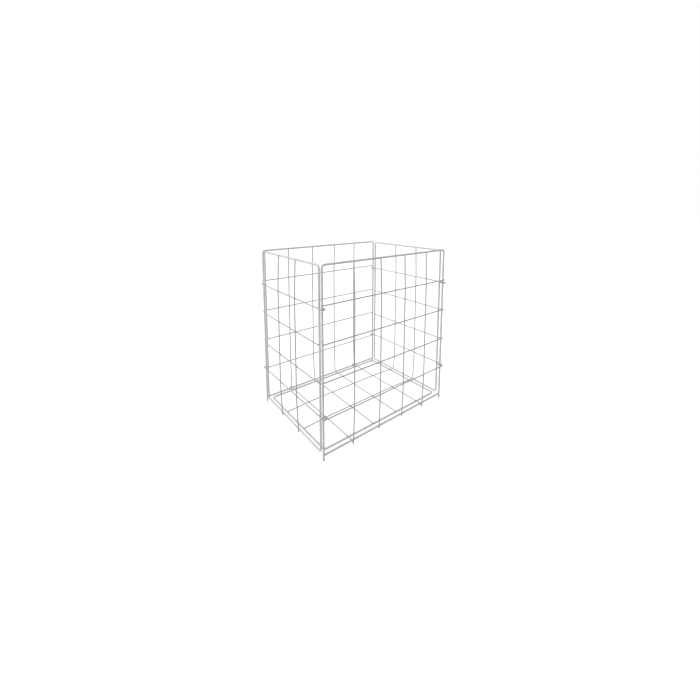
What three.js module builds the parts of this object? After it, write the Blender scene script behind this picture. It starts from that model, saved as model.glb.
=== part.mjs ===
// Collapsible wire mesh container: four welded wire walls that hook onto each other, and a
// hinged wire floor. Millimetres, +Z up, +X along the long front wall, +Y to the back.
import * as THREE from 'three';

// Overall layout, measured between wire centres
const WALL_SPACING_X = 400;      // left wall plane to right wall plane
const WALL_SPACING_Y = 290;      // front wall plane to back wall plane
const LONG_WALL_TOP_Z = 433;     // top wire of the front and back walls
const LONG_WALL_BOTTOM_Z = 13;   // bottom wire of the front and back walls; the posts run on to 0
const SHORT_WALL_TOP_Z = 431;
const SHORT_WALL_BOTTOM_Z = 15;

// Wires
const FRAME_WIRE = 5;            // diameter of the border wires
const MESH_WIRE = 3;             // diameter of the mesh wires
const WELD_GAP = 0.3;            // kept between wires that touch
const CORNER_RADIUS = 7;         // bend of the border wires, to the wire's centre
const MESH_BEND_RADIUS = 5;      // bends where a mesh wire slopes down onto the border
const END_OVERHANG = 1.5;        // how far a mesh wire's cut end passes the wire it is welded to
const LEVEL_PAST_WELD = 3;       // how far a mesh wire stays level past a weld before it slopes

// Distances from a wall's plane out to the layers of mesh wire that lie on it
const FIRST_LAYER = FRAME_WIRE / 2 + WELD_GAP + MESH_WIRE / 2;
const SECOND_LAYER = FIRST_LAYER + MESH_WIRE + WELD_GAP;

// Front and back walls
const LONG_WALL_ROWS_Z = [349, 265, 181, 97];
const LONG_WALL_COLUMNS = [-120, -40, 40, 120];
const FOOT_BELOW_COLUMN = 4;     // a column's cut end below the bottom wire's centre
const COLUMN_TOP_PAST_RIM = 1;

// Left and right walls
const SHORT_WALL_POST_INSET = 11;               // from the long wall's plane to the short wall's post
const SHORT_WALL_HOOK_ROWS_Z = [341, 101.5];    // these two rows carry the hinge hooks
const SHORT_WALL_PLAIN_ROWS_Z = [262, 177];
const SHORT_WALL_COLUMNS = [-42, 42];
const HOOK_TIP_RETURN = 9;                      // straight end of a hook, back past the post
const HOOK_PLAY = 3.5;                          // room between a hook's turn and the post

// Floor
const FLOOR_SIDE_INSET = 11;
const FLOOR_FRONT_Y = 14;
const FLOOR_BACK_Y = 277;
const FLOOR_CROSS_WIRES_X = [-124.5, -45.5, 33.5, 112.5];
const FLOOR_LONG_WIRES_Y = [184, 99];
const FLOOR_LOOP_TIP_RETURN = 8;                // straight end of a hinge loop under the floor
const LATCH_ANGLE = THREE.MathUtils.degToRad(35);   // slope of a latch end below the horizontal
const LATCH_LENGTH = 13.5;

// Mesh fineness
const FRAME_SIDES = 12;
const MESH_SIDES = 10;
const BEND_STEP = THREE.MathUtils.degToRad(15);
const BUTT_GAP = 0.2;            // open seam where a closed border's two ends meet

// A wire's centre line: stations with known directions, one ring of the wire at each.
class WireRoute extends THREE.Curve {
  constructor(stations) {
    super();
    this.stations = stations;
  }

  nearest(u) {
    return this.stations[Math.round(u * (this.stations.length - 1))];
  }

  getPointAt(u) {
    return this.nearest(u).point.clone();
  }

  getTangentAt(u, target = new THREE.Vector3()) {
    return target.copy(this.nearest(u).direction);
  }
}

// Stations of a round bend that replaces the sharp corner between two straights.
function bendStations(before, corner, after, radius) {
  const into = corner.clone().sub(before).normalize();
  const out = after.clone().sub(corner).normalize();
  const turn = into.angleTo(out);
  const reach = radius * Math.tan(turn / 2);
  const start = corner.clone().addScaledVector(into, -reach);
  const turnAxis = into.clone().cross(out).normalize();
  const toCentre = turnAxis.clone().cross(into);
  const centre = start.clone().addScaledVector(toCentre, radius);
  const steps = Math.max(2, Math.round(turn / BEND_STEP));
  const stations = [];
  for (let i = 0; i <= steps; i += 1) {
    const angle = (turn * i) / steps;
    const spoke = toCentre.clone().negate().applyAxisAngle(turnAxis, angle);
    stations.push({
      point: centre.clone().addScaledVector(spoke, radius),
      direction: into.clone().applyAxisAngle(turnAxis, angle),
    });
  }
  return stations;
}

// Stations along straights through the given points, with a round bend at every inner point.
function routeThrough(points, radius) {
  const last = points.length - 1;
  const stations = [{
    point: points[0],
    direction: points[1].clone().sub(points[0]).normalize(),
  }];
  for (let i = 1; i < last; i += 1) {
    stations.push(...bendStations(points[i - 1], points[i], points[i + 1], radius));
  }
  stations.push({
    point: points[last],
    direction: points[last].clone().sub(points[last - 1]).normalize(),
  });
  const apart = 1e-3;
  return stations.filter((station, i) => (
    i === 0 || station.point.distanceTo(stations[i - 1].point) > apart
  ));
}

function roundSection(diameter, sides) {
  const section = new THREE.Shape();
  for (let i = 0; i < sides; i += 1) {
    const angle = (2 * Math.PI * i) / sides;
    const x = (diameter / 2) * Math.cos(angle);
    const y = (diameter / 2) * Math.sin(angle);
    if (i === 0) section.moveTo(x, y);
    else section.lineTo(x, y);
  }
  section.closePath();
  return section;
}

// One wire as one mesh, swept along the points.
function wire(name, points, { diameter, sides, radius = CORNER_RADIUS, colour }) {
  const stations = routeThrough(points, radius);
  const geometry = new THREE.ExtrudeGeometry(roundSection(diameter, sides), {
    steps: stations.length - 1,
    extrudePath: new WireRoute(stations),
    bevelEnabled: false,
  });
  const material = new THREE.MeshStandardMaterial({
    color: colour,
    roughness: 0.42,
    metalness: 0,
  });
  const mesh = new THREE.Mesh(geometry, material);
  mesh.name = name;
  return mesh;
}

function frameWire(name, points) {
  return wire(name, points, { diameter: FRAME_WIRE, sides: FRAME_SIDES, colour: 0xe6e8ea });
}

function meshWire(name, points, radius = MESH_BEND_RADIUS) {
  return wire(name, points, {
    diameter: MESH_WIRE, sides: MESH_SIDES, radius, colour: 0xeceef0,
  });
}

// Corner points of a closed rectangular border that starts and ends at a butt seam in the
// middle of its first side. at(u, v) places a corner in space.
function borderLoop(lowU, highU, lowV, highV, at) {
  const seam = (lowU + highU) / 2;
  return [
    at(seam + BUTT_GAP / 2, lowV),
    at(highU, lowV),
    at(highU, highV),
    at(lowU, highV),
    at(lowU, lowV),
    at(seam - BUTT_GAP / 2, lowV),
  ];
}

// Walls are drawn as seen from outside: X along the wall, Y inwards, so -Y is outwards.
function inWall(x, outward, z) {
  return new THREE.Vector3(x, -outward, z);
}

// A column lies on the outside of the rows. Past the outermost row at each end it slopes in,
// over the whole of that cell, onto the border.
function column(name, x, bottomZ, topZ, rowsZ) {
  return meshWire(name, [
    inWall(x, FIRST_LAYER, bottomZ - FOOT_BELOW_COLUMN),
    inWall(x, FIRST_LAYER, bottomZ + LEVEL_PAST_WELD),
    inWall(x, SECOND_LAYER, Math.min(...rowsZ) - LEVEL_PAST_WELD),
    inWall(x, SECOND_LAYER, Math.max(...rowsZ) + LEVEL_PAST_WELD),
    inWall(x, FIRST_LAYER, topZ - LEVEL_PAST_WELD),
    inWall(x, FIRST_LAYER, topZ + COLUMN_TOP_PAST_RIM),
  ]);
}

function straightRow(name, halfLength, z) {
  return meshWire(name, [
    inWall(-halfLength, FIRST_LAYER, z),
    inWall(halfLength, FIRST_LAYER, z),
  ]);
}

// A row whose ends wrap round the long walls' posts and return a little way inside.
function hookedRow(name, z) {
  const postX = WALL_SPACING_Y / 2;
  const turnX = postX + FIRST_LAYER + HOOK_PLAY;
  const tipX = postX - HOOK_TIP_RETURN;
  return meshWire(name, [
    inWall(-tipX, -FIRST_LAYER, z),
    inWall(-turnX, -FIRST_LAYER, z),
    inWall(-turnX, FIRST_LAYER, z),
    inWall(turnX, FIRST_LAYER, z),
    inWall(turnX, -FIRST_LAYER, z),
    inWall(tipX, -FIRST_LAYER, z),
  ], FIRST_LAYER);
}

// Front or back wall: a bent border open at the bottom, whose posts stand on the ground.
function longWall(side) {
  const wall = new THREE.Group();
  const postX = WALL_SPACING_X / 2;
  wall.add(frameWire(`${side}_frame`, [
    inWall(-postX, 0, 0),
    inWall(-postX, 0, LONG_WALL_TOP_Z),
    inWall(postX, 0, LONG_WALL_TOP_Z),
    inWall(postX, 0, 0),
  ]));
  const bottomX = postX - FRAME_WIRE / 2 - WELD_GAP;
  wall.add(frameWire(`${side}_bottom_wire`, [
    inWall(-bottomX, 0, LONG_WALL_BOTTOM_Z),
    inWall(bottomX, 0, LONG_WALL_BOTTOM_Z),
  ]));
  const rowX = postX + FRAME_WIRE / 2 + END_OVERHANG;
  LONG_WALL_ROWS_Z.forEach((z, i) => {
    wall.add(straightRow(`${side}_row_${i + 1}`, rowX, z));
  });
  LONG_WALL_COLUMNS.forEach((x, i) => {
    wall.add(column(
      `${side}_column_${i + 1}`,
      x,
      LONG_WALL_BOTTOM_Z,
      LONG_WALL_TOP_Z,
      LONG_WALL_ROWS_Z,
    ));
  });
  return wall;
}

// Left or right wall: a closed border, two hooked rows and two plain ones.
function shortWall(side) {
  const wall = new THREE.Group();
  const postX = WALL_SPACING_Y / 2 - SHORT_WALL_POST_INSET;
  wall.add(frameWire(`${side}_frame`, borderLoop(
    -postX,
    postX,
    SHORT_WALL_BOTTOM_Z,
    SHORT_WALL_TOP_Z,
    (u, v) => inWall(u, 0, v),
  )));
  SHORT_WALL_HOOK_ROWS_Z.forEach((z, i) => {
    wall.add(hookedRow(`${side}_hook_row_${i + 1}`, z));
  });
  const rowX = postX + FRAME_WIRE / 2 + END_OVERHANG;
  SHORT_WALL_PLAIN_ROWS_Z.forEach((z, i) => {
    wall.add(straightRow(`${side}_row_${i + 1}`, rowX, z));
  });
  SHORT_WALL_COLUMNS.forEach((x, i) => {
    wall.add(column(
      `${side}_column_${i + 1}`,
      x,
      SHORT_WALL_BOTTOM_Z,
      SHORT_WALL_TOP_Z,
      SHORT_WALL_HOOK_ROWS_Z,
    ));
  });
  return wall;
}

// The floor's cross wires lie on its border. The outer two reach further: behind, each loops
// round the back wall's bottom wire as a hinge; in front, each rests on the front wall's
// bottom wire and slopes down before it as a latch.
function hingedCrossWire(name, x) {
  const topZ = LONG_WALL_BOTTOM_Z + FIRST_LAYER;
  const underZ = LONG_WALL_BOTTOM_Z - FIRST_LAYER;
  const loopY = WALL_SPACING_Y + FIRST_LAYER;
  const tipY = WALL_SPACING_Y - FLOOR_LOOP_TIP_RETURN;
  const latchBendY = -FIRST_LAYER * Math.tan(LATCH_ANGLE / 2);
  return meshWire(name, [
    new THREE.Vector3(x, tipY, underZ),
    new THREE.Vector3(x, loopY, underZ),
    new THREE.Vector3(x, loopY, topZ),
    new THREE.Vector3(x, latchBendY, topZ),
    new THREE.Vector3(
      x,
      latchBendY - LATCH_LENGTH * Math.cos(LATCH_ANGLE),
      topZ - LATCH_LENGTH * Math.sin(LATCH_ANGLE),
    ),
  ], FIRST_LAYER);
}

function plainCrossWire(name, x) {
  const z = LONG_WALL_BOTTOM_Z + FIRST_LAYER;
  return meshWire(name, [
    new THREE.Vector3(x, FLOOR_BACK_Y + FRAME_WIRE / 2, z),
    new THREE.Vector3(x, FLOOR_FRONT_Y - FRAME_WIRE / 2, z),
  ]);
}

// A long wire lies over the cross wires and slopes down beyond the outer two onto the border.
function floorLongWire(name, y) {
  const borderX = WALL_SPACING_X / 2 - FLOOR_SIDE_INSET;
  const endX = borderX + END_OVERHANG;
  const slopeX = borderX - LEVEL_PAST_WELD;
  const lowZ = LONG_WALL_BOTTOM_Z + FIRST_LAYER;
  const highZ = LONG_WALL_BOTTOM_Z + SECOND_LAYER;
  return meshWire(name, [
    new THREE.Vector3(-endX, y, lowZ),
    new THREE.Vector3(-slopeX, y, lowZ),
    new THREE.Vector3(Math.min(...FLOOR_CROSS_WIRES_X) - LEVEL_PAST_WELD, y, highZ),
    new THREE.Vector3(Math.max(...FLOOR_CROSS_WIRES_X) + LEVEL_PAST_WELD, y, highZ),
    new THREE.Vector3(slopeX, y, lowZ),
    new THREE.Vector3(endX, y, lowZ),
  ]);
}

function floorPanel() {
  const floor = new THREE.Group();
  const borderX = WALL_SPACING_X / 2 - FLOOR_SIDE_INSET;
  floor.add(frameWire('floor_frame', borderLoop(
    -borderX,
    borderX,
    FLOOR_FRONT_Y,
    FLOOR_BACK_Y,
    (u, v) => new THREE.Vector3(u, v, LONG_WALL_BOTTOM_Z),
  )));
  FLOOR_CROSS_WIRES_X.forEach((x, i) => {
    const isOuter = i === 0 || i === FLOOR_CROSS_WIRES_X.length - 1;
    const name = `floor_cross_wire_${i + 1}`;
    floor.add(isOuter ? hingedCrossWire(name, x) : plainCrossWire(name, x));
  });
  FLOOR_LONG_WIRES_Y.forEach((y, i) => {
    floor.add(floorLongWire(`floor_long_wire_${i + 1}`, y));
  });
  return floor;
}

const container = new THREE.Group();
const front = longWall('front');
const back = longWall('back');
const left = shortWall('left');
const right = shortWall('right');
back.position.y = WALL_SPACING_Y;
back.rotation.z = Math.PI;
left.position.set(-WALL_SPACING_X / 2, WALL_SPACING_Y / 2, 0);
left.rotation.z = -Math.PI / 2;
right.position.set(WALL_SPACING_X / 2, WALL_SPACING_Y / 2, 0);
right.rotation.z = Math.PI / 2;
container.add(front, back, left, right, floorPanel());

// The origin is the middle of the outline, on the ground.
const outline = new THREE.Box3().setFromObject(container, true);
const middle = outline.getCenter(new THREE.Vector3());
const group = new THREE.Group();
container.position.set(-middle.x, -middle.y, 0);
group.add(container);

export default group;
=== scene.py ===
"""Collapsible wire mesh container: its coated wires, their welds and the studio round them.

Run as a script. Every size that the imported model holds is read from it, so the wires made here
lie on the centre lines of the model's own wires and stay inside its box.
"""
import math

import bpy
from bpy.props import FloatProperty, FloatVectorProperty, IntProperty, PointerProperty
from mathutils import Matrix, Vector


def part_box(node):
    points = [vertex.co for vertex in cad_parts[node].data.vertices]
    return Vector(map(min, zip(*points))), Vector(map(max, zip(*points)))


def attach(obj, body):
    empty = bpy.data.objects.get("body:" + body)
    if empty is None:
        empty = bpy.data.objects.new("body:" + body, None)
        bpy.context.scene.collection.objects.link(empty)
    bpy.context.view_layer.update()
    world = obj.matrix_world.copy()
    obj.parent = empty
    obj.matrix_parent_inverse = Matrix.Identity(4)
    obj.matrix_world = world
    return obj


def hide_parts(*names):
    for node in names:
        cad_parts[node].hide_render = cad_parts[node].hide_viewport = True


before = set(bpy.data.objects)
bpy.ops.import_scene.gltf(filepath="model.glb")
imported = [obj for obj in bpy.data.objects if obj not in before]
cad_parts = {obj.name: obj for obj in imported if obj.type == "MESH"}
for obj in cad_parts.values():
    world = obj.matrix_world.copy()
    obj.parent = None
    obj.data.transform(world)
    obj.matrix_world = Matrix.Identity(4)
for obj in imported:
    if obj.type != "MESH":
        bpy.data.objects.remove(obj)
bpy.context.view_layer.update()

bl_info = {
    "name": "Wire mesh container",
    "version": (1, 0, 0),
    "blender": (4, 5, 0),
    "location": "View3D > Sidebar > Container",
    "description": "Builds the coated wires, welds and studio of a collapsible wire mesh container",
    "category": "Object",
}

MILLIMETRE = 0.001

LONG_WALLS = ("front", "back")
SHORT_WALLS = ("left", "right")
BODY_OF = {
    "front": "front_wall",
    "back": "back_wall",
    "left": "left_wall",
    "right": "right_wall",
    "floor": "floor_panel",
}

# Each wall has its own two level directions: along it, and out of the container.
ALONG = {
    "front": Vector((1, 0, 0)),
    "back": Vector((-1, 0, 0)),
    "left": Vector((0, -1, 0)),
    "right": Vector((0, 1, 0)),
}
OUTWARD = {
    "front": Vector((0, -1, 0)),
    "back": Vector((0, 1, 0)),
    "left": Vector((-1, 0, 0)),
    "right": Vector((1, 0, 0)),
}
UP = Vector((0, 0, 1))


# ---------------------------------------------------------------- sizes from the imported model

def span(node, direction):
    """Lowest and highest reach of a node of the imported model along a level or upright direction."""
    low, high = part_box(node)
    reaches = sorted((Vector(low).dot(direction), Vector(high).dot(direction)))
    return reaches[0], reaches[1]


def middle(node, direction):
    """Middle of a node along a direction."""
    low, high = span(node, direction)
    return (low + high) / 2


def thickness(node, direction):
    """Reach of a node along a direction, from side to side."""
    low, high = span(node, direction)
    return high - low


def in_wall(wall, along, outward, height):
    """Point of a wall, from its distances along the wall, out of the container and above the ground."""
    return ALONG[wall] * along + OUTWARD[wall] * outward + UP * height


BORDER_WIRE = thickness("front_bottom_wire", UP)
MESH_WIRE = max(thickness("front_row_1", UP), thickness("front_row_1", OUTWARD["front"]))


# ---------------------------------------------------------------- settings that a user may change

class ContainerWireSettings(bpy.types.PropertyGroup):
    """Sizes of the wires."""

    border_diameter: FloatProperty(
        name="Border wire", description="Thickness of the wires round each panel",
        default=BORDER_WIRE, min=0.001, max=0.02, precision=4, unit="LENGTH")
    mesh_diameter: FloatProperty(
        name="Mesh wire", description="Thickness of the rows and columns",
        default=MESH_WIRE, min=0.001, max=0.02, precision=4, unit="LENGTH")
    weld_gap: FloatProperty(
        name="Gap at crossings", description="Gap between crossing wires that the weld fills",
        default=0.3 * MILLIMETRE, min=0.0, max=0.002, precision=5, unit="LENGTH")
    corner_bend: FloatProperty(
        name="Corner bend", description="Bend of the border wires, to the wire's centre",
        default=7 * MILLIMETRE, min=0.0, max=0.05, precision=4, unit="LENGTH")
    mesh_bend: FloatProperty(
        name="Mesh bend", description="Bends where a mesh wire slopes down onto the border",
        default=5 * MILLIMETRE, min=0.0, max=0.05, precision=4, unit="LENGTH")
    level_run: FloatProperty(
        name="Level run", description="How far a mesh wire stays level past a weld before it slopes",
        default=3 * MILLIMETRE, min=0.0, max=0.05, precision=4, unit="LENGTH")
    hook_tip: FloatProperty(
        name="Hook tip", description="How far a hook's tip comes back past the post it turns on",
        default=9 * MILLIMETRE, min=0.0, max=0.05, precision=4, unit="LENGTH")
    loop_tip: FloatProperty(
        name="Hinge loop tip", description="How far a floor loop's tip comes back under the hinge wire",
        default=8 * MILLIMETRE, min=0.0, max=0.05, precision=4, unit="LENGTH")
    latch_angle: FloatProperty(
        name="Latch slope", description="Downward slope of the latches on the floor's front edge",
        default=math.radians(35), min=0.0, max=1.5, subtype="ANGLE", unit="ROTATION")
    latch_length: FloatProperty(
        name="Latch length", description="Length of the sloping latches",
        default=13.5 * MILLIMETRE, min=0.0, max=0.05, precision=4, unit="LENGTH")
    border_sides: IntProperty(
        name="Border wire sides", description="Faces round a border wire", default=24, min=8, max=64)
    mesh_sides: IntProperty(
        name="Mesh wire sides", description="Faces round a mesh wire", default=18, min=8, max=64)
    bend_steps: IntProperty(
        name="Bend steps", description="Steps in each bend", default=10, min=2, max=32)


class ContainerWeldSettings(bpy.types.PropertyGroup):
    """Sizes of the welds under the coating."""

    crossing_width: FloatProperty(
        name="Crossing weld", description="Half width of the weld where two wires cross",
        default=1.9 * MILLIMETRE, min=0.0, max=0.01, precision=5, unit="LENGTH")
    crossing_height: FloatProperty(
        name="Crossing weld depth", description="Half depth of that weld, from wire to wire",
        default=1.25 * MILLIMETRE, min=0.0, max=0.01, precision=5, unit="LENGTH")
    collar_growth: FloatProperty(
        name="Butt weld collar", description="How far a butt weld stands proud of the wire",
        default=0.3 * MILLIMETRE, min=0.0, max=0.002, precision=5, unit="LENGTH")
    collar_length: FloatProperty(
        name="Butt weld length", description="Half length of a butt weld along the wire",
        default=1.8 * MILLIMETRE, min=0.0, max=0.01, precision=5, unit="LENGTH")
    drip_growth: FloatProperty(
        name="Foot drip", description="How far the coating stands proud round the foot of a post",
        default=0.45 * MILLIMETRE, min=0.0, max=0.002, precision=5, unit="LENGTH")
    drip_length: FloatProperty(
        name="Foot drip length", description="Height of the gathered coating at the foot of a post",
        default=9 * MILLIMETRE, min=0.001, max=0.02, precision=4, unit="LENGTH")
    unevenness: FloatProperty(
        name="Unevenness", description="How much the welds differ in size",
        default=0.12, min=0.0, max=0.5, subtype="FACTOR")
    seed: IntProperty(
        name="Seed", description="Number that fixes the uneven welds", default=7, min=0)


class ContainerCoatingSettings(bpy.types.PropertyGroup):
    """Colours of the coating."""

    border_colour: FloatVectorProperty(
        name="Border coating", description="Colour of the border wires' coating",
        default=(0.84, 0.85, 0.86), min=0.0, max=1.0, subtype="COLOR")
    # The mesh wires wear the same white coating as the border; their darker colour here is painted shade.
    mesh_colour_with_painted_shade: FloatVectorProperty(
        name="Mesh coating", description="Colour of the mesh wires' coating",
        default=(0.60, 0.61, 0.625), min=0.0, max=1.0, subtype="COLOR")
    thin_colour: FloatVectorProperty(
        name="Thin coating", description="Colour where the coating ran thin over the steel",
        default=(0.56, 0.575, 0.60), min=0.0, max=1.0, subtype="COLOR")
    dust_colour: FloatVectorProperty(
        name="Dust", description="Colour of the dust that settles on top of the wires",
        default=(0.62, 0.60, 0.57), min=0.0, max=1.0, subtype="COLOR")
    scuff_colour: FloatVectorProperty(
        name="Scuffs", description="Colour of the scuffs where wires rub and are handled",
        default=(0.42, 0.43, 0.45), min=0.0, max=1.0, subtype="COLOR")


class ContainerStageSettings(bpy.types.PropertyGroup):
    """Floor, lights and camera."""

    floor_radius: FloatProperty(
        name="Floor radius", description="Radius of the pale floor",
        default=14.0, min=1.0, max=50.0, unit="LENGTH")
    surround: FloatProperty(
        name="Surround light", description="Strength of the even light from all round",
        default=0.46, min=0.0, max=5.0)
    bounce: FloatProperty(
        name="Floor light", description="Strength of the light that the floor throws back up",
        default=0.30, min=0.0, max=5.0)
    floor_white: FloatProperty(
        name="Floor white", description="Strength of the floor's glow as the camera sees it",
        default=1.1, min=0.0, max=5.0)
    key_power: FloatProperty(
        name="Key light", description="Power of the large light on the left, in watts",
        default=24.0, min=0.0, max=500.0)
    fill_power: FloatProperty(
        name="Fill light", description="Power of the large light overhead, in watts",
        default=18.0, min=0.0, max=500.0)
    azimuth: FloatProperty(
        name="Camera azimuth", description="Turn of the camera round the container, from its front",
        default=math.radians(-37.966), subtype="ANGLE", unit="ROTATION")
    elevation: FloatProperty(
        name="Camera elevation", description="Slope of the camera's line of sight",
        default=math.radians(7.185), subtype="ANGLE", unit="ROTATION")
    distance: FloatProperty(
        name="Camera distance", description="Distance from the camera to the point it looks at",
        default=0.9006, min=0.1, max=20.0, unit="LENGTH")
    target: FloatVectorProperty(
        name="Camera target", description="Point that the camera looks at",
        default=(-0.01408, 0.00202, 0.43476), subtype="TRANSLATION", unit="LENGTH")
    lens: FloatProperty(
        name="Lens", description="Focal length over a 36 mm wide sensor, in millimetres",
        default=17.168, min=5.0, max=200.0)
    shift: FloatProperty(
        name="Lens shift", description="Upright shift of the lens that keeps the posts parallel",
        default=-0.1429, min=-1.0, max=1.0)


# ---------------------------------------------------------------- centre lines of the wires

# A hook's two bends meet half way round it; each is this share of the half, so that both fit.
HALF_TURN = 0.999


class CentreLine:
    """Path of one wire: its points, the bend at each, whether it closes and whether its ends are round."""

    def __init__(self, points, bend, closed=False, thick=0.0, flat_ends=False):
        self.points = [Vector(point) for point in points]
        self.bend = bend
        self.closed = closed
        self.thick = thick
        self.flat_ends = flat_ends

    def stations(self):
        """Points with their bend and thinning; the coating rounds each cut end over half a thickness.

        A closed line starts at its seam, half way along a straight side, where nothing bends.
        """
        full = [(point, self.bend, 1.0) for point in self.points]
        if self.closed:
            return [(self.points[0], 0.0, 1.0)] + full[1:]
        first = rounded_end(self.points[0], self.points[1], self.thick, self.flat_ends)
        last = rounded_end(self.points[-1], self.points[-2], self.thick, self.flat_ends)
        return first + full[1:-1] + last[::-1]


# How a cut end tapers: over what share of the wire's radius, and how thin it is at the very tip.
ROUND_TAPER = (1.0, 0.12)
BLUNT_TAPER = (0.35, 0.72)
TAPER_STEPS = 4


def rounded_end(tip, inner, thick, nearly_flat):
    """Stations from a cut end inwards, thinner towards the tip as the coating rounds it."""
    share, least = BLUNT_TAPER if nearly_flat else ROUND_TAPER
    depth = thick / 2 * share
    inwards = (inner - tip).normalized()
    stations = []
    for step in range(TAPER_STEPS + 1):
        turn = math.pi / 2 * step / TAPER_STEPS
        back = depth * (1 - math.cos(turn))
        stations.append((tip + inwards * back, 0.0, least + (1 - least) * math.sin(turn)))
    return stations


def skeleton(name, lines):
    """Mesh of bare edges along the centre lines, which carries each point's bend and thinning."""
    points, edges, bends, thinning = [], [], [], []
    for line in lines:
        stations = line.stations()
        start = len(points)
        for place, bend, thin in stations:
            points.append(place)
            bends.append(bend)
            thinning.append(thin)
        last = len(points) - 1
        edges += [(index, index + 1) for index in range(start, last)]
        if line.closed:
            edges.append((last, start))
    mesh = bpy.data.meshes.new(name)
    mesh.from_pydata(points, edges, [])
    mesh.attributes.new("bend_radius", "FLOAT", "POINT").data.foreach_set("value", bends)
    mesh.attributes.new("thinning", "FLOAT", "POINT").data.foreach_set("value", thinning)
    return mesh


class Layers:
    """Distances of the wires' centres out from the border: first and second layer of mesh wire."""

    def __init__(self, wires):
        self.first = wires.border_diameter / 2 + wires.weld_gap + wires.mesh_diameter / 2
        self.second = self.first + wires.mesh_diameter + wires.weld_gap
        self.border_weld = wires.border_diameter / 2 + wires.weld_gap / 2
        self.mesh_weld = (self.first + self.second) / 2


class WallPlan:
    """Centre lines of one wall's border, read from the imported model."""

    def __init__(self, wall, wires):
        self.wall = wall
        border = f"{wall}_frame"
        half = wires.border_diameter / 2
        self.plane = middle(border, OUTWARD[wall])
        low, high = span(border, ALONG[wall])
        self.left_post, self.right_post = low + half, high - half
        low, high = span(border, UP)
        self.rim = high - half
        self.is_long = wall in LONG_WALLS
        self.post_foot = low
        self.bottom = middle(f"{wall}_bottom_wire", UP) if self.is_long else low + half

    def point(self, along, layer, height):
        """Point of this wall, layer metres out of the plane of its border."""
        return in_wall(self.wall, along, self.plane + layer, height)

    def row_heights(self):
        """Heights of all this wall's rows, plain and hooked."""
        nodes = numbered(f"{self.wall}_row") + numbered(f"{self.wall}_hook")
        return [middle(node, UP) for node in nodes]


def numbered(kind):
    """Names of the nodes that start with these words, in order."""
    return sorted(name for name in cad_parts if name.startswith(kind))


def border_lines(plan, wires):
    """Border of a wall: an upturned U with a bottom wire between its posts, or a closed loop."""
    left, right = plan.left_post, plan.right_post
    thick = wires.border_diameter
    if not plan.is_long:
        middle_along = (left + right) / 2
        corners = [(middle_along, plan.bottom), (right, plan.bottom), (right, plan.rim),
                   (left, plan.rim), (left, plan.bottom)]
        points = [plan.point(along, 0, height) for along, height in corners]
        return [CentreLine(points, wires.corner_bend, closed=True)]
    corners = [(left, plan.post_foot), (left, plan.rim), (right, plan.rim), (right, plan.post_foot)]
    points = [plan.point(along, 0, height) for along, height in corners]
    low, high = span(f"{plan.wall}_bottom_wire", ALONG[plan.wall])
    bottom = [plan.point(low, 0, plan.bottom), plan.point(high, 0, plan.bottom)]
    return [
        CentreLine(points, wires.corner_bend, thick=thick, flat_ends=True),
        CentreLine(bottom, 0.0, thick=thick, flat_ends=True),
    ]


def column_line(plan, node, wires, layers):
    """A column: out over the rows, and sloping in onto the border beyond the outermost of them."""
    along = middle(node, ALONG[plan.wall])
    low, high = span(node, UP)
    rows = plan.row_heights()
    steps = [
        (layers.first, low),
        (layers.first, plan.bottom + wires.level_run),
        (layers.second, min(rows) - wires.level_run),
        (layers.second, max(rows) + wires.level_run),
        (layers.first, plan.rim - wires.level_run),
        (layers.first, high),
    ]
    points = [plan.point(along, layer, height) for layer, height in steps]
    return CentreLine(points, wires.mesh_bend, thick=wires.mesh_diameter)


def row_line(plan, node, wires, layers):
    """A straight row across the outside of both posts."""
    low, high = span(node, ALONG[plan.wall])
    height = middle(node, UP)
    points = [plan.point(low, layers.first, height), plan.point(high, layers.first, height)]
    return CentreLine(points, 0.0, thick=wires.mesh_diameter)


def hook_line(plan, node, wires, layers):
    """A row of a short wall whose ends turn round the long walls' posts and come back inside."""
    height = middle(node, UP)
    low, high = span(node, ALONG[plan.wall])
    centre = (low + high) / 2
    turn = (high - low) / 2 - wires.mesh_diameter / 2
    tip = post_reach() - wires.hook_tip
    route = [(-tip, -layers.first), (-turn, -layers.first), (-turn, layers.first),
             (turn, layers.first), (turn, -layers.first), (tip, -layers.first)]
    points = [plan.point(centre + along, layer, height) for along, layer in route]
    return CentreLine(points, layers.first * HALF_TURN, thick=wires.mesh_diameter)


def post_reach():
    """Half the distance between the front and the back wall's posts."""
    front = middle("front_frame", OUTWARD["front"])
    back = middle("back_frame", OUTWARD["back"])
    return (front + back) / 2


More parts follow.
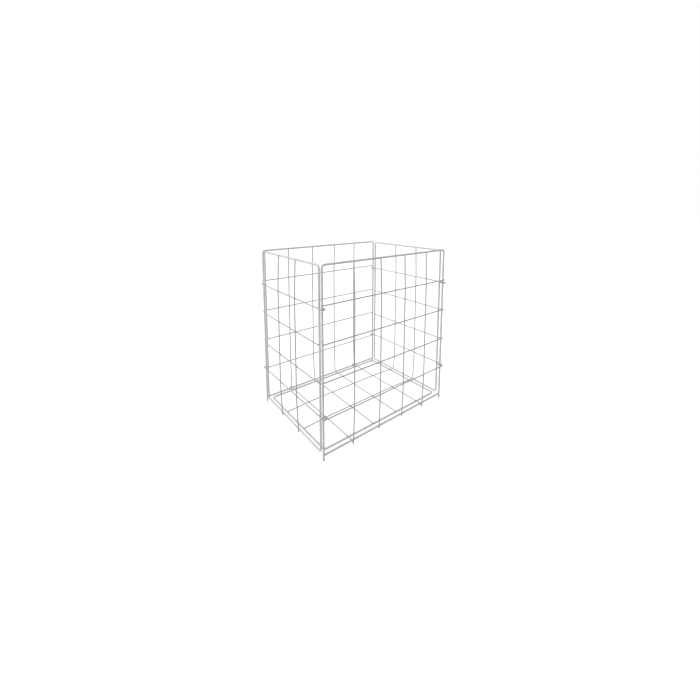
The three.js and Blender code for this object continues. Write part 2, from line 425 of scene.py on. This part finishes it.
class FloorPlan:
    """Centre lines of the floor's border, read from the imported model."""

    def __init__(self, wires):
        half = wires.border_diameter / 2
        (self.left, self.front, low), (self.right, self.back, high) = map(Vector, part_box("floor_frame"))
        self.left += half
        self.right -= half
        self.front += half
        self.back -= half
        self.height = (low + high) / 2
        self.hinge_wire = middle("back_bottom_wire", OUTWARD["back"])
        self.latch_wire = -middle("front_bottom_wire", OUTWARD["front"])

    def border(self, wires):
        """The floor's border, a closed loop that starts in the middle of its front side."""
        centre = (self.left + self.right) / 2
        corners = [(centre, self.front), (self.right, self.front), (self.right, self.back),
                   (self.left, self.back), (self.left, self.front)]
        points = [(x, y, self.height) for x, y in corners]
        return CentreLine(points, wires.corner_bend, closed=True)

    def cross_wire(self, node, wires, layers):
        """A plain wire from front to back on top of the border."""
        x = middle(node, Vector((1, 0, 0)))
        front, back = span(node, Vector((0, 1, 0)))
        height = self.height + layers.first
        points = [(x, back, height), (x, front, height)]
        return CentreLine(points, 0.0, thick=wires.mesh_diameter)

    def hinged_wire(self, node, wires, layers):
        """A cross wire that loops under the back wall's bottom wire and latches over the front's."""
        x = middle(node, Vector((1, 0, 0)))
        top = self.height + layers.first
        under = self.height - layers.first
        turn = self.hinge_wire + layers.first
        slope = wires.latch_angle
        sloping = self.latch_wire - layers.first * math.tan(slope / 2)
        tip_y = sloping - wires.latch_length * math.cos(slope)
        tip_z = top - wires.latch_length * math.sin(slope)
        points = [(x, self.hinge_wire - wires.loop_tip, under), (x, turn, under), (x, turn, top),
                  (x, sloping, top), (x, tip_y, tip_z)]
        return CentreLine(points, layers.first * HALF_TURN, thick=wires.mesh_diameter)

    def long_wire(self, node, wires, layers):
        """A wire from side to side, over the cross wires and sloping down onto the border."""
        y = middle(node, Vector((0, 1, 0)))
        left, right = span(node, Vector((1, 0, 0)))
        across = [middle(other, Vector((1, 0, 0))) for other in numbered("floor_cross_wire")]
        first, second = self.height + layers.first, self.height + layers.second
        run = wires.level_run
        steps = [(left, first), (self.left + run, first), (min(across) - run, second),
                 (max(across) + run, second), (self.right - run, first), (right, first)]
        points = [(x, y, height) for x, height in steps]
        return CentreLine(points, wires.mesh_bend, thick=wires.mesh_diameter)


# ---------------------------------------------------------------- node trees for the shapes

def add_input(tree, name, kind, default=None):
    """Gives a node tree a named input."""
    socket = tree.interface.new_socket(name=name, in_out="INPUT", socket_type=kind)
    if default is not None:
        socket.default_value = default
    return socket


def named_attribute(tree, name, kind):
    """Node that reads a point's own value by name."""
    node = tree.nodes.new("GeometryNodeInputNamedAttribute")
    node.data_type = kind
    node.inputs["Name"].default_value = name
    return node.outputs["Attribute"]


def combine(tree, operation, first, second):
    """Sum, product or other result of two values, either of which may be a plain number."""
    node = tree.nodes.new("ShaderNodeMath")
    node.operation = operation
    for socket, value in zip(node.inputs, (first, second)):
        if isinstance(value, (int, float)):
            socket.default_value = value
        else:
            tree.links.new(value, socket)
    return node.outputs["Value"]


def bent_wire_tree():
    """Sweeps a round wire along bare edges, with a true bend at every corner."""
    tree = bpy.data.node_groups.new("bent_wire", "GeometryNodeTree")
    add_input(tree, "Centre Lines", "NodeSocketGeometry")
    add_input(tree, "Diameter", "NodeSocketFloat", MESH_WIRE)
    add_input(tree, "Sides", "NodeSocketInt", 18)
    add_input(tree, "Bend Steps", "NodeSocketInt", 10)
    add_input(tree, "Coating", "NodeSocketMaterial")
    tree.interface.new_socket(name="Wires", in_out="OUTPUT", socket_type="NodeSocketGeometry")
    nodes, links = tree.nodes, tree.links
    given = nodes.new("NodeGroupInput")

    curve = nodes.new("GeometryNodeMeshToCurve")
    links.new(given.outputs["Centre Lines"], curve.inputs["Mesh"])

    # A point that doesn't bend gets no steps, because steps there would all fall on one spot.
    bend = nodes.new("GeometryNodeFilletCurve")
    bend.mode = "POLY"
    bend_radius = named_attribute(tree, "bend_radius", "FLOAT")
    does_bend = combine(tree, "GREATER_THAN", bend_radius, 0.0)
    steps = combine(tree, "MULTIPLY", does_bend, given.outputs["Bend Steps"])
    links.new(curve.outputs["Curve"], bend.inputs["Curve"])
    links.new(bend_radius, bend.inputs["Radius"])
    links.new(steps, bend.inputs["Count"])

    section = nodes.new("GeometryNodeCurvePrimitiveCircle")
    radius = combine(tree, "DIVIDE", given.outputs["Diameter"], 2.0)
    links.new(given.outputs["Sides"], section.inputs["Resolution"])
    links.new(radius, section.inputs["Radius"])

    sweep = nodes.new("GeometryNodeCurveToMesh")
    sweep.inputs["Fill Caps"].default_value = True
    links.new(bend.outputs["Curve"], sweep.inputs["Curve"])
    links.new(named_attribute(tree, "thinning", "FLOAT"), sweep.inputs["Scale"])
    links.new(section.outputs["Curve"], sweep.inputs["Profile Curve"])

    finish_tree(tree, given, sweep.outputs["Mesh"], "Wires")
    return tree


# A bead is repeated many times, so it has few faces.
BEAD_SEGMENTS = 12
BEAD_RINGS = 7


def weld_bead_tree():
    """Puts a small coated bead at every weld, flattened and turned as its point says."""
    tree = bpy.data.node_groups.new("weld_beads", "GeometryNodeTree")
    add_input(tree, "Weld Points", "NodeSocketGeometry")
    add_input(tree, "Unevenness", "NodeSocketFloat", 0.12)
    add_input(tree, "Seed", "NodeSocketInt", 7)
    add_input(tree, "Coating", "NodeSocketMaterial")
    tree.interface.new_socket(name="Welds", in_out="OUTPUT", socket_type="NodeSocketGeometry")
    nodes, links = tree.nodes, tree.links
    given = nodes.new("NodeGroupInput")

    bead = nodes.new("GeometryNodeMeshUVSphere")
    bead.inputs["Segments"].default_value = BEAD_SEGMENTS
    bead.inputs["Rings"].default_value = BEAD_RINGS
    bead.inputs["Radius"].default_value = 1.0

    turn = nodes.new("FunctionNodeAlignRotationToVector")
    turn.axis = "Z"
    links.new(named_attribute(tree, "weld_axis", "FLOAT_VECTOR"), turn.inputs["Vector"])

    smallest = combine(tree, "SUBTRACT", 1.0, given.outputs["Unevenness"])
    chance = nodes.new("FunctionNodeRandomValue")
    chance.data_type = "FLOAT"
    links.new(smallest, chance.inputs[2])
    chance.inputs[3].default_value = 1.0
    links.new(given.outputs["Seed"], chance.inputs["Seed"])

    size = nodes.new("ShaderNodeVectorMath")
    size.operation = "SCALE"
    links.new(named_attribute(tree, "weld_size", "FLOAT_VECTOR"), size.inputs[0])
    links.new(chance.outputs[1], size.inputs["Scale"])

    place = nodes.new("GeometryNodeInstanceOnPoints")
    links.new(given.outputs["Weld Points"], place.inputs["Points"])
    links.new(bead.outputs["Mesh"], place.inputs["Instance"])
    links.new(turn.outputs["Rotation"], place.inputs["Rotation"])
    links.new(size.outputs["Vector"], place.inputs["Scale"])

    finish_tree(tree, given, place.outputs["Instances"], "Welds")
    return tree


def finish_tree(tree, given, shape, output_name):
    """Ends a tree: instances made real, faces smooth, coating on."""
    nodes, links = tree.nodes, tree.links
    real = nodes.new("GeometryNodeRealizeInstances")
    links.new(shape, real.inputs["Geometry"])
    smooth = nodes.new("GeometryNodeSetShadeSmooth")
    links.new(real.outputs["Geometry"], smooth.inputs["Geometry"])
    coat = nodes.new("GeometryNodeSetMaterial")
    links.new(smooth.outputs["Geometry"], coat.inputs["Geometry"])
    links.new(given.outputs["Coating"], coat.inputs["Material"])
    result = nodes.new("NodeGroupOutput")
    links.new(coat.outputs["Geometry"], result.inputs[output_name])


def shape_tree(name):
    """The node tree of this name, built on first use."""
    builders = {"bent_wire": bent_wire_tree, "weld_beads": weld_bead_tree}
    return bpy.data.node_groups.get(name) or builders[name]()


def shaped_piece(name, mesh, tree_name, values):
    """Runs a node tree over a mesh and keeps the result as one plain piece."""
    piece = bpy.data.objects.new(name, mesh)
    bpy.context.scene.collection.objects.link(piece)
    tree = shape_tree(tree_name)
    modifier = piece.modifiers.new(tree_name, "NODES")
    modifier.node_group = tree
    for socket in tree.interface.items_tree:
        if socket.item_type == "SOCKET" and socket.in_out == "INPUT" and socket.name in values:
            modifier[socket.identifier] = values[socket.name]
    finished = piece.evaluated_get(bpy.context.evaluated_depsgraph_get())
    plain = bpy.data.meshes.new_from_object(finished)
    piece.modifiers.remove(modifier)
    piece.data = plain
    plain.name = name
    plain.materials.clear()
    plain.materials.append(values["Coating"])
    for leftover in ("bend_radius", "thinning", "weld_axis", "weld_size"):
        if leftover in plain.attributes:
            plain.attributes.remove(plain.attributes[leftover])
    if not plain.polygons:
        raise RuntimeError(f"{name} came out without faces")
    return piece


def wire_piece(name, lines, diameter, sides, coating, body, nodes):
    """A group of wires of one thickness on one body, which stands for these nodes."""
    wires = bpy.context.scene.container_wires
    piece = shaped_piece(name, skeleton(name, lines), "bent_wire", {
        "Diameter": diameter,
        "Sides": sides,
        "Bend Steps": wires.bend_steps,
        "Coating": coating,
    })
    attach(piece, body)
    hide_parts(*nodes)
    return piece


# ---------------------------------------------------------------- coating

# Sizes of the coating's features, as features to the metre.
PEEL_SCALE = 900.0
RUN_SCALE = 110.0
CLOUD_SCALE = 34.0
GRAIN_SCALE = 420.0
DUST_SCALE = 60.0
FLECK_SCALE = 310.0
WORN_ZONE_SCALE = 22.0

# Where each mask starts and where it is full.
THIN_LIMITS = (0.27, 0.42)
CLOUD_LIMITS = (0.3, 0.7)
UPWARD_LIMITS = (0.35, 0.95)
DUST_LIMITS = (0.38, 0.66)
FLECK_LIMITS = (0.63, 0.72)
WORN_ZONE_LIMITS = (0.45, 0.65)

CLOUD_SHADE = 0.93
DUST_DULLING = 0.35
SMOOTHER, ROUGHER = -0.05, 0.06


def shader_group(name, inputs, outputs):
    """An empty shader node group with named inputs and outputs."""
    group = bpy.data.node_groups.new(name, "ShaderNodeTree")
    for label, kind, default in inputs:
        add_input(group, label, kind, default)
    for label, kind in outputs:
        group.interface.new_socket(name=label, in_out="OUTPUT", socket_type=kind)
    return group, group.nodes.new("NodeGroupInput"), group.nodes.new("NodeGroupOutput")


def noise(group, place, scale, detail, roughness=0.5):
    """Noise over the surface; scale is a socket or a number of features to the metre."""
    node = group.nodes.new("ShaderNodeTexNoise")
    node.inputs["Detail"].default_value = detail
    node.inputs["Roughness"].default_value = roughness
    group.links.new(place, node.inputs["Vector"])
    if isinstance(scale, (int, float)):
        node.inputs["Scale"].default_value = scale
    else:
        group.links.new(scale, node.inputs["Scale"])
    return node.outputs["Fac"]


def remap(group, value, low, high, to_low=0.0, to_high=1.0):
    """Stretches a value between two limits, and holds it there."""
    node = group.nodes.new("ShaderNodeMapRange")
    node.interpolation_type = "SMOOTHSTEP"
    group.links.new(value, node.inputs["Value"])
    for label, amount in (("From Min", low), ("From Max", high),
                          ("To Min", to_low), ("To Max", to_high)):
        node.inputs[label].default_value = amount
    return node.outputs["Result"]


def coating_skin_group():
    """The dipped coating's own surface: orange peel, slow runs, and where it ran thin."""
    group, given, result = shader_group(
        "coating_skin",
        [("Place", "NodeSocketVector", None), ("Peel Scale", "NodeSocketFloat", PEEL_SCALE),
         ("Run Scale", "NodeSocketFloat", RUN_SCALE), ("Run Share", "NodeSocketFloat", 0.6)],
        [("Relief", "NodeSocketFloat"), ("Thin", "NodeSocketFloat"), ("Cloud", "NodeSocketFloat")])
    place = given.outputs["Place"]
    peel = noise(group, place, given.outputs["Peel Scale"], 2.0, 0.55)
    runs = noise(group, place, given.outputs["Run Scale"], 1.0)
    cloud = noise(group, place, CLOUD_SCALE, 3.0)
    grain = noise(group, place, GRAIN_SCALE, 4.0, 0.6)
    heavy = combine(group, "MULTIPLY", runs, given.outputs["Run Share"])
    relief = combine(group, "ADD", peel, heavy)
    patchy = combine(group, "MULTIPLY", grain, cloud)
    group.links.new(relief, result.inputs["Relief"])
    group.links.new(remap(group, patchy, *THIN_LIMITS), result.inputs["Thin"])
    group.links.new(remap(group, cloud, *CLOUD_LIMITS), result.inputs["Cloud"])
    return group


def use_marks_group():
    """Marks of use: dust on the upper side of the wires, and small scuffs all over."""
    group, given, result = shader_group(
        "use_marks",
        [("Place", "NodeSocketVector", None), ("Facing", "NodeSocketVector", None),
         ("Dust", "NodeSocketFloat", 0.5), ("Scuffs", "NodeSocketFloat", 0.5)],
        [("Dust Mask", "NodeSocketFloat"), ("Scuff Mask", "NodeSocketFloat")])
    place = given.outputs["Place"]
    parts = group.nodes.new("ShaderNodeSeparateXYZ")
    group.links.new(given.outputs["Facing"], parts.inputs["Vector"])
    upward = remap(group, parts.outputs["Z"], *UPWARD_LIMITS)
    settled = remap(group, noise(group, place, DUST_SCALE, 5.0, 0.65), *DUST_LIMITS)
    dust = combine(group, "MULTIPLY", upward, settled)
    dust = combine(group, "MULTIPLY", dust, given.outputs["Dust"])
    flecks = remap(group, noise(group, place, FLECK_SCALE, 3.0, 0.7), *FLECK_LIMITS)
    zones = remap(group, noise(group, place, WORN_ZONE_SCALE, 1.0), *WORN_ZONE_LIMITS)
    scuffs = combine(group, "MULTIPLY", flecks, zones)
    scuffs = combine(group, "MULTIPLY", scuffs, given.outputs["Scuffs"])
    group.links.new(dust, result.inputs["Dust Mask"])
    group.links.new(scuffs, result.inputs["Scuff Mask"])
    return group


def shader_group_named(name):
    """The shader group of this name, built on first use."""
    builders = {"coating_skin": coating_skin_group, "use_marks": use_marks_group}
    return bpy.data.node_groups.get(name) or builders[name]()


def placed_group(material, name, values):
    """Puts a shared group into a material with its own values."""
    node = material.node_tree.nodes.new("ShaderNodeGroup")
    node.node_tree = shader_group_named(name)
    for label, value in values.items():
        node.inputs[label].default_value = value
    return node


def tinted(material, base, mask, colour):
    """Mixes a colour over another where the mask says; base is a socket or a colour."""
    tree = material.node_tree
    mix = tree.nodes.new("ShaderNodeMix")
    mix.data_type = "RGBA"
    tree.links.new(mask, mix.inputs["Factor"])
    sockets = {socket.identifier: socket for socket in mix.inputs}
    if isinstance(base, bpy.types.NodeSocket):
        tree.links.new(base, sockets["A_Color"])
    else:
        sockets["A_Color"].default_value = (*base, 1.0)
    sockets["B_Color"].default_value = (*colour, 1.0)
    return next(socket for socket in mix.outputs if socket.identifier == "Result_Color")


def coated_wire_material(name, colour, peel_depth, dust, scuffs, thin_share, roughness):
    """White plastic coating over steel wire, satin, with peel, thin places, dust and scuffs."""
    done = bpy.data.materials.get(name)
    if done:
        return done
    shades = bpy.context.scene.container_coating
    material = bpy.data.materials.new(name)
    material.use_nodes = True
    tree = material.node_tree
    tree.nodes.clear()
    place = tree.nodes.new("ShaderNodeTexCoord")
    surface = tree.nodes.new("ShaderNodeBsdfPrincipled")
    output = tree.nodes.new("ShaderNodeOutputMaterial")
    tree.links.new(surface.outputs["BSDF"], output.inputs["Surface"])

    skin = placed_group(material, "coating_skin", {"Peel Scale": PEEL_SCALE, "Run Scale": RUN_SCALE})
    tree.links.new(place.outputs["Object"], skin.inputs["Place"])
    marks = placed_group(material, "use_marks", {"Dust": dust, "Scuffs": scuffs})
    tree.links.new(place.outputs["Object"], marks.inputs["Place"])
    tree.links.new(place.outputs["Normal"], marks.inputs["Facing"])

    deeper = [channel * CLOUD_SHADE for channel in colour]
    clouded = tinted(material, colour, skin.outputs["Cloud"], deeper)
    thin = combine(tree, "MULTIPLY", skin.outputs["Thin"], thin_share)
    thinned = tinted(material, clouded, thin, shades.thin_colour)
    dusted = tinted(material, thinned, marks.outputs["Dust Mask"], shades.dust_colour)
    scuffed = tinted(material, dusted, marks.outputs["Scuff Mask"], shades.scuff_colour)
    tree.links.new(scuffed, surface.inputs["Base Color"])

    uneven = remap(tree, skin.outputs["Cloud"], 0.0, 1.0, roughness + SMOOTHER, roughness + ROUGHER)
    dull = combine(tree, "MULTIPLY", marks.outputs["Dust Mask"], DUST_DULLING)
    rough = combine(tree, "ADD", uneven, dull)
    tree.links.new(rough, surface.inputs["Roughness"])

    bump = tree.nodes.new("ShaderNodeBump")
    bump.inputs["Strength"].default_value = 0.6
    bump.inputs["Distance"].default_value = peel_depth
    tree.links.new(skin.outputs["Relief"], bump.inputs["Height"])
    tree.links.new(bump.outputs["Normal"], surface.inputs["Normal"])

    surface.inputs["IOR"].default_value = 1.5
    surface.inputs["Coat Weight"].default_value = 0.18
    surface.inputs["Coat Roughness"].default_value = 0.22
    return material


def border_coating():
    """Coating of the thicker border wires."""
    colour = tuple(bpy.context.scene.container_coating.border_colour)
    return coated_wire_material(
        "border_coating", colour, peel_depth=0.12 * MILLIMETRE,
        dust=0.30, scuffs=0.45, thin_share=0.30, roughness=0.36)


def mesh_coating_with_painted_shade():
    """Coating of the thinner mesh wires: the border's white coating, its colour darkened as painted shade.
    """
    colour = tuple(bpy.context.scene.container_coating.mesh_colour_with_painted_shade)
    return coated_wire_material(
        "mesh_coating_with_painted_shade", colour, peel_depth=0.09 * MILLIMETRE,
        dust=0.26, scuffs=0.35, thin_share=0.24, roughness=0.38)


def weld_coating():
    """Coating where it pools over the welds: thicker and smoother, between the other two in colour."""
    shades = bpy.context.scene.container_coating
    # Half of the mesh colour's painted shade comes into the weld colour.
    pairs = zip(shades.border_colour, shades.mesh_colour_with_painted_shade)
    colour = tuple((border + mesh) / 2 for border, mesh in pairs)
    return coated_wire_material(
        "weld_coating", colour, peel_depth=0.16 * MILLIMETRE,
        dust=0.30, scuffs=0.25, thin_share=0.35, roughness=0.30)


# ---------------------------------------------------------------- welds

# A weld onto the thicker border wire is this much wider than one between two mesh wires.
BORDER_WELD_GROWTH = 1.1


class WeldPoints:
    """Collects the welds of one body: place, direction from wire to wire, and half sizes."""

    def __init__(self, welds):
        self.sizes = welds
        self.places, self.axes, self.halves = [], [], []

    def crossing(self, place, axis, grow=1.0):
        """Weld between two wires that cross."""
        width, height = self.sizes.crossing_width * grow, self.sizes.crossing_height
        self.add(place, axis, (width, width, height))

    def butt(self, place, axis, diameter):
        """Collar where a wire's ends meet, or where one ends against the side of another."""
        width = diameter / 2 + self.sizes.collar_growth
        self.add(place, axis, (width, width, self.sizes.collar_length))

    def drip(self, place, diameter):
        """Coating that ran down and gathered round the foot of a post."""
        width = diameter / 2 + self.sizes.drip_growth
        self.add(place, (0, 0, 1), (width, width, self.sizes.drip_length / 2))

    def add(self, place, axis, half_sizes):
        """Keeps one weld."""
        self.places.append(Vector(place))
        self.axes.append(Vector(axis))
        self.halves.append(half_sizes)

    def mesh(self, name):
        """Mesh of bare points that carries each weld's direction and size."""
        mesh = bpy.data.meshes.new(name)
        mesh.from_pydata(self.places, [], [])
        for label, values in (("weld_axis", self.axes), ("weld_size", self.halves)):
            flat = [number for value in values for number in value]
            mesh.attributes.new(label, "FLOAT_VECTOR", "POINT").data.foreach_set("vector", flat)
        return mesh


def wall_welds(plan, wires, layers, welds):
    """Every weld of one wall."""
    points = WeldPoints(welds)
    outward, along_wall = OUTWARD[plan.wall], ALONG[plan.wall]
    columns = [middle(node, along_wall) for node in numbered(f"{plan.wall}_column")]
    for height in plan.row_heights():
        for post in (plan.left_post, plan.right_post):
            points.crossing(plan.point(post, layers.border_weld, height), outward, BORDER_WELD_GROWTH)
        for column in columns:
            points.crossing(plan.point(column, layers.mesh_weld, height), outward)
    for column in columns:
        for height in (plan.bottom, plan.rim):
            points.crossing(plan.point(column, layers.border_weld, height), outward, BORDER_WELD_GROWTH)
    if plan.is_long:
        for post, side in ((plan.left_post, 1), (plan.right_post, -1)):
            edge = post + side * wires.border_diameter / 2
            points.butt(plan.point(edge, 0, plan.bottom), along_wall, wires.border_diameter)
            points.drip(plan.point(post, 0, welds.drip_length / 2), wires.border_diameter)
    else:
        centre = (plan.left_post + plan.right_post) / 2
        points.butt(plan.point(centre, 0, plan.bottom), along_wall, wires.border_diameter)
    return points


def floor_welds(plan, wires, layers, welds):
    """Every weld of the floor."""
    points = WeldPoints(welds)
    on_border = plan.height + layers.border_weld
    on_mesh = plan.height + layers.mesh_weld
    across = [middle(node, Vector((1, 0, 0))) for node in numbered("floor_cross_wire")]
    lengthwise = [middle(node, Vector((0, 1, 0))) for node in numbered("floor_long_wire")]
    for x in across:
        for y in (plan.front, plan.back):
            points.crossing((x, y, on_border), UP, BORDER_WELD_GROWTH)
        for y in lengthwise:
            points.crossing((x, y, on_mesh), UP)
    for y in lengthwise:
        for x in (plan.left, plan.right):
            points.crossing((x, y, on_border), UP, BORDER_WELD_GROWTH)
    seam = ((plan.left + plan.right) / 2, plan.front, plan.height)
    points.butt(seam, (1, 0, 0), wires.border_diameter)
    return points


# ---------------------------------------------------------------- operators

class CONTAINER_OT_borders(bpy.types.Operator):
    """Make the thick border wires of the four walls and the floor"""

    bl_idname = "container.borders"
    bl_label = "Border wires"

    def execute(self, context):
        wires = context.scene.container_wires
        for wall in LONG_WALLS + SHORT_WALLS:
            nodes = [f"{wall}_frame"] + numbered(f"{wall}_bottom_wire")
            piece = wire_piece(
                f"{wall}_border_wires", border_lines(WallPlan(wall, wires), wires),
                wires.border_diameter, wires.border_sides, border_coating(), BODY_OF[wall], nodes)
        piece = wire_piece(
            "floor_border_wire", [FloorPlan(wires).border(wires)],
            wires.border_diameter, wires.border_sides, border_coating(), BODY_OF["floor"], ["floor_frame"])
        return {"FINISHED"}


class CONTAINER_OT_rows(bpy.types.Operator):
    """Make the straight rows of the walls and the hooked rows of the short walls"""

    bl_idname = "container.rows"
    bl_label = "Rows and hooks"

    def execute(self, context):
        wires = context.scene.container_wires
        layers = Layers(wires)
        kinds = [(wall, "row", row_line) for wall in LONG_WALLS + SHORT_WALLS]
        kinds += [(wall, "hook_row", hook_line) for wall in SHORT_WALLS]
        for wall, kind, line in kinds:
            nodes = numbered(f"{wall}_{kind}_")
            plan = WallPlan(wall, wires)
            lines = [line(plan, node, wires, layers) for node in nodes]
            piece = wire_piece(f"{wall}_{kind}_wires", lines, wires.mesh_diameter,
                               wires.mesh_sides, mesh_coating_with_painted_shade(), BODY_OF[wall], nodes)
        return {"FINISHED"}


class CONTAINER_OT_columns(bpy.types.Operator):
    """Make the upright mesh wires of the four walls"""

    bl_idname = "container.columns"
    bl_label = "Columns"

    def execute(self, context):
        wires = context.scene.container_wires
        layers = Layers(wires)
        for wall in LONG_WALLS + SHORT_WALLS:
            nodes = numbered(f"{wall}_column_")
            plan = WallPlan(wall, wires)
            lines = [column_line(plan, node, wires, layers) for node in nodes]
            piece = wire_piece(f"{wall}_column_wires", lines, wires.mesh_diameter,
                               wires.mesh_sides, mesh_coating_with_painted_shade(), BODY_OF[wall], nodes)
        return {"FINISHED"}


class CONTAINER_OT_floor_mesh(bpy.types.Operator):
    """Make the floor's cross wires, its hinged and latching wires and its long wires"""

    bl_idname = "container.floor_mesh"
    bl_label = "Floor mesh"

    def execute(self, context):
        wires = context.scene.container_wires
        layers = Layers(wires)
        plan = FloorPlan(wires)
        across = numbered("floor_cross_wire_")
        groups = (
            ("floor_hinge_wires", plan.hinged_wire, [across[0], across[-1]]),
            ("floor_cross_wires", plan.cross_wire, across[1:-1]),
            ("floor_long_wires", plan.long_wire, numbered("floor_long_wire_")),
        )
        for name, line, nodes in groups:
            lines = [line(node, wires, layers) for node in nodes]
            piece = wire_piece(name, lines, wires.mesh_diameter, wires.mesh_sides,
                               mesh_coating_with_painted_shade(), BODY_OF["floor"], nodes)
        return {"FINISHED"}


class CONTAINER_OT_welds(bpy.types.Operator):
    """Make the coated weld beads of each panel"""

    bl_idname = "container.welds"
    bl_label = "Welds"

    def execute(self, context):
        wires = context.scene.container_wires
        welds = context.scene.container_welds
        layers = Layers(wires)
        sets = {wall: wall_welds(WallPlan(wall, wires), wires, layers, welds)
                for wall in LONG_WALLS + SHORT_WALLS}
        sets["floor"] = floor_welds(FloorPlan(wires), wires, layers, welds)
        for panel, points in sets.items():
            name = f"{panel}_welds"
            piece = shaped_piece(name, points.mesh(name), "weld_beads", {
                "Unevenness": welds.unevenness,
                "Seed": welds.seed,
                "Coating": weld_coating(),
            })
            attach(piece, BODY_OF[panel])
        return {"FINISHED"}


class CONTAINER_OT_stage(bpy.types.Operator):
    """Make the pale floor, the soft lights and the camera"""

    bl_idname = "container.stage"
    bl_label = "Stage"

    def execute(self, context):
        stage = context.scene.container_stage
        make_floor(stage)
        make_surround(context.scene, stage)
        make_lights(stage)
        make_camera(context.scene, stage)
        context.scene.view_settings.view_transform = "Standard"
        return {"FINISHED"}


# ---------------------------------------------------------------- stage

FLOOR_SIDES = 96
FLOOR_SHADE = 0.2

# Each light's width and place, in metres.
KEY_LIGHT = (1.6, (-2.4, 0.3, 1.0))
FILL_LIGHT = (1.8, (0.3, 0.4, 2.6))
LIGHTS_AIM = Vector((0, 0, 0.2))


def make_floor(stage):
    """A round floor that glows white to the camera, so no edge or shadow shows.

    Its own shade is dark, so the light that it throws back up is mostly the stage's bounce setting.
    """
    turns = [math.tau * step / FLOOR_SIDES for step in range(FLOOR_SIDES)]
    ring = [(stage.floor_radius * math.cos(turn), stage.floor_radius * math.sin(turn), 0.0)
            for turn in turns]
    mesh = bpy.data.meshes.new("studio_floor")
    mesh.from_pydata(ring, [], [list(range(FLOOR_SIDES))])
    floor = bpy.data.objects.new("studio_floor", mesh)
    bpy.context.scene.collection.objects.link(floor)

    material = bpy.data.materials.new("pale_floor")
    material.use_nodes = True
    tree = material.node_tree
    surface = tree.nodes["Principled BSDF"]
    surface.inputs["Base Color"].default_value = (FLOOR_SHADE, FLOOR_SHADE, FLOOR_SHADE, 1.0)
    surface.inputs["Roughness"].default_value = 0.9
    surface.inputs["Specular IOR Level"].default_value = 0.0
    surface.inputs["Emission Color"].default_value = (1.0, 1.0, 1.0, 1.0)
    seen = tree.nodes.new("ShaderNodeLightPath")
    glow = tree.nodes.new("ShaderNodeMapRange")
    glow.inputs["To Min"].default_value = stage.bounce
    glow.inputs["To Max"].default_value = stage.floor_white
    tree.links.new(seen.outputs["Is Camera Ray"], glow.inputs["Value"])
    tree.links.new(glow.outputs["Result"], surface.inputs["Emission Strength"])
    mesh.materials.append(material)


def make_surround(scene, stage):
    """White surround: full white behind the object, and softer as a light on it."""
    world = bpy.data.worlds.new("white_surround")
    world.use_nodes = True
    tree = world.node_tree
    tree.nodes.clear()
    seen = tree.nodes.new("ShaderNodeLightPath")
    strength = tree.nodes.new("ShaderNodeMapRange")
    tree.links.new(seen.outputs["Is Camera Ray"], strength.inputs["Value"])
    strength.inputs["To Min"].default_value = stage.surround
    strength.inputs["To Max"].default_value = 1.0
    light = tree.nodes.new("ShaderNodeBackground")
    light.inputs["Color"].default_value = (1.0, 1.0, 1.0, 1.0)
    tree.links.new(strength.outputs["Result"], light.inputs["Strength"])
    output = tree.nodes.new("ShaderNodeOutputWorld")
    tree.links.new(light.outputs["Background"], output.inputs["Surface"])
    scene.world = world


def make_lights(stage):
    """Two large soft lights: a key low on the left, and a weaker fill overhead."""
    lights = (
        ("key_light", stage.key_power, *KEY_LIGHT),
        ("fill_light", stage.fill_power, *FILL_LIGHT),
    )
    for name, power, size, place in lights:
        light = bpy.data.lights.new(name, "AREA")
        light.energy = power
        light.size = size
        lamp = bpy.data.objects.new(name, light)
        lamp.location = place
        towards = LIGHTS_AIM - Vector(place)
        lamp.rotation_euler = towards.to_track_quat("-Z", "Y").to_euler()
        bpy.context.scene.collection.objects.link(lamp)


def make_camera(scene, stage):
    """Camera a little above the rim, its lens shifted so that the posts stay nearly parallel."""
    turn, rise = stage.azimuth, stage.elevation
    back = Vector((math.sin(turn) * math.cos(rise), -math.cos(turn) * math.cos(rise), math.sin(rise)))
    data = bpy.data.cameras.new("camera")
    data.sensor_width = 36.0
    data.lens = stage.lens
    data.shift_y = stage.shift
    data.clip_start = 0.01
    data.clip_end = 60.0
    camera = bpy.data.objects.new("camera", data)
    camera.location = Vector(stage.target) + back * stage.distance
    camera.rotation_euler = (-back).to_track_quat("-Z", "Y").to_euler()
    scene.collection.objects.link(camera)
    scene.camera = camera


# ---------------------------------------------------------------- panel and registration

class CONTAINER_PT_build(bpy.types.Panel):
    """Lists the steps that build the container"""

    bl_idname = "CONTAINER_PT_build"
    bl_label = "Wire mesh container"
    bl_space_type = "VIEW_3D"
    bl_region_type = "UI"
    bl_category = "Container"

    def draw(self, context):
        for step in STEPS:
            self.layout.operator(step.bl_idname)


SETTINGS = {
    "container_wires": ContainerWireSettings,
    "container_welds": ContainerWeldSettings,
    "container_coating": ContainerCoatingSettings,
    "container_stage": ContainerStageSettings,
}
STEPS = (
    CONTAINER_OT_borders,
    CONTAINER_OT_rows,
    CONTAINER_OT_columns,
    CONTAINER_OT_floor_mesh,
    CONTAINER_OT_welds,
    CONTAINER_OT_stage,
)


def register():
    """Registers the settings, the steps and the panel."""
    for kind in (*SETTINGS.values(), *STEPS, CONTAINER_PT_build):
        bpy.utils.register_class(kind)
    for name, kind in SETTINGS.items():
        setattr(bpy.types.Scene, name, PointerProperty(type=kind))


def unregister():
    """Takes them all out again."""
    for name in SETTINGS:
        delattr(bpy.types.Scene, name)
    for kind in reversed((*SETTINGS.values(), *STEPS, CONTAINER_PT_build)):
        bpy.utils.unregister_class(kind)


def main():
    """Builds everything in order."""
    register()
    for step in STEPS:
        group, action = step.bl_idname.split(".")
        getattr(getattr(bpy.ops, group), action)()


if __name__ == "__main__":
    main()
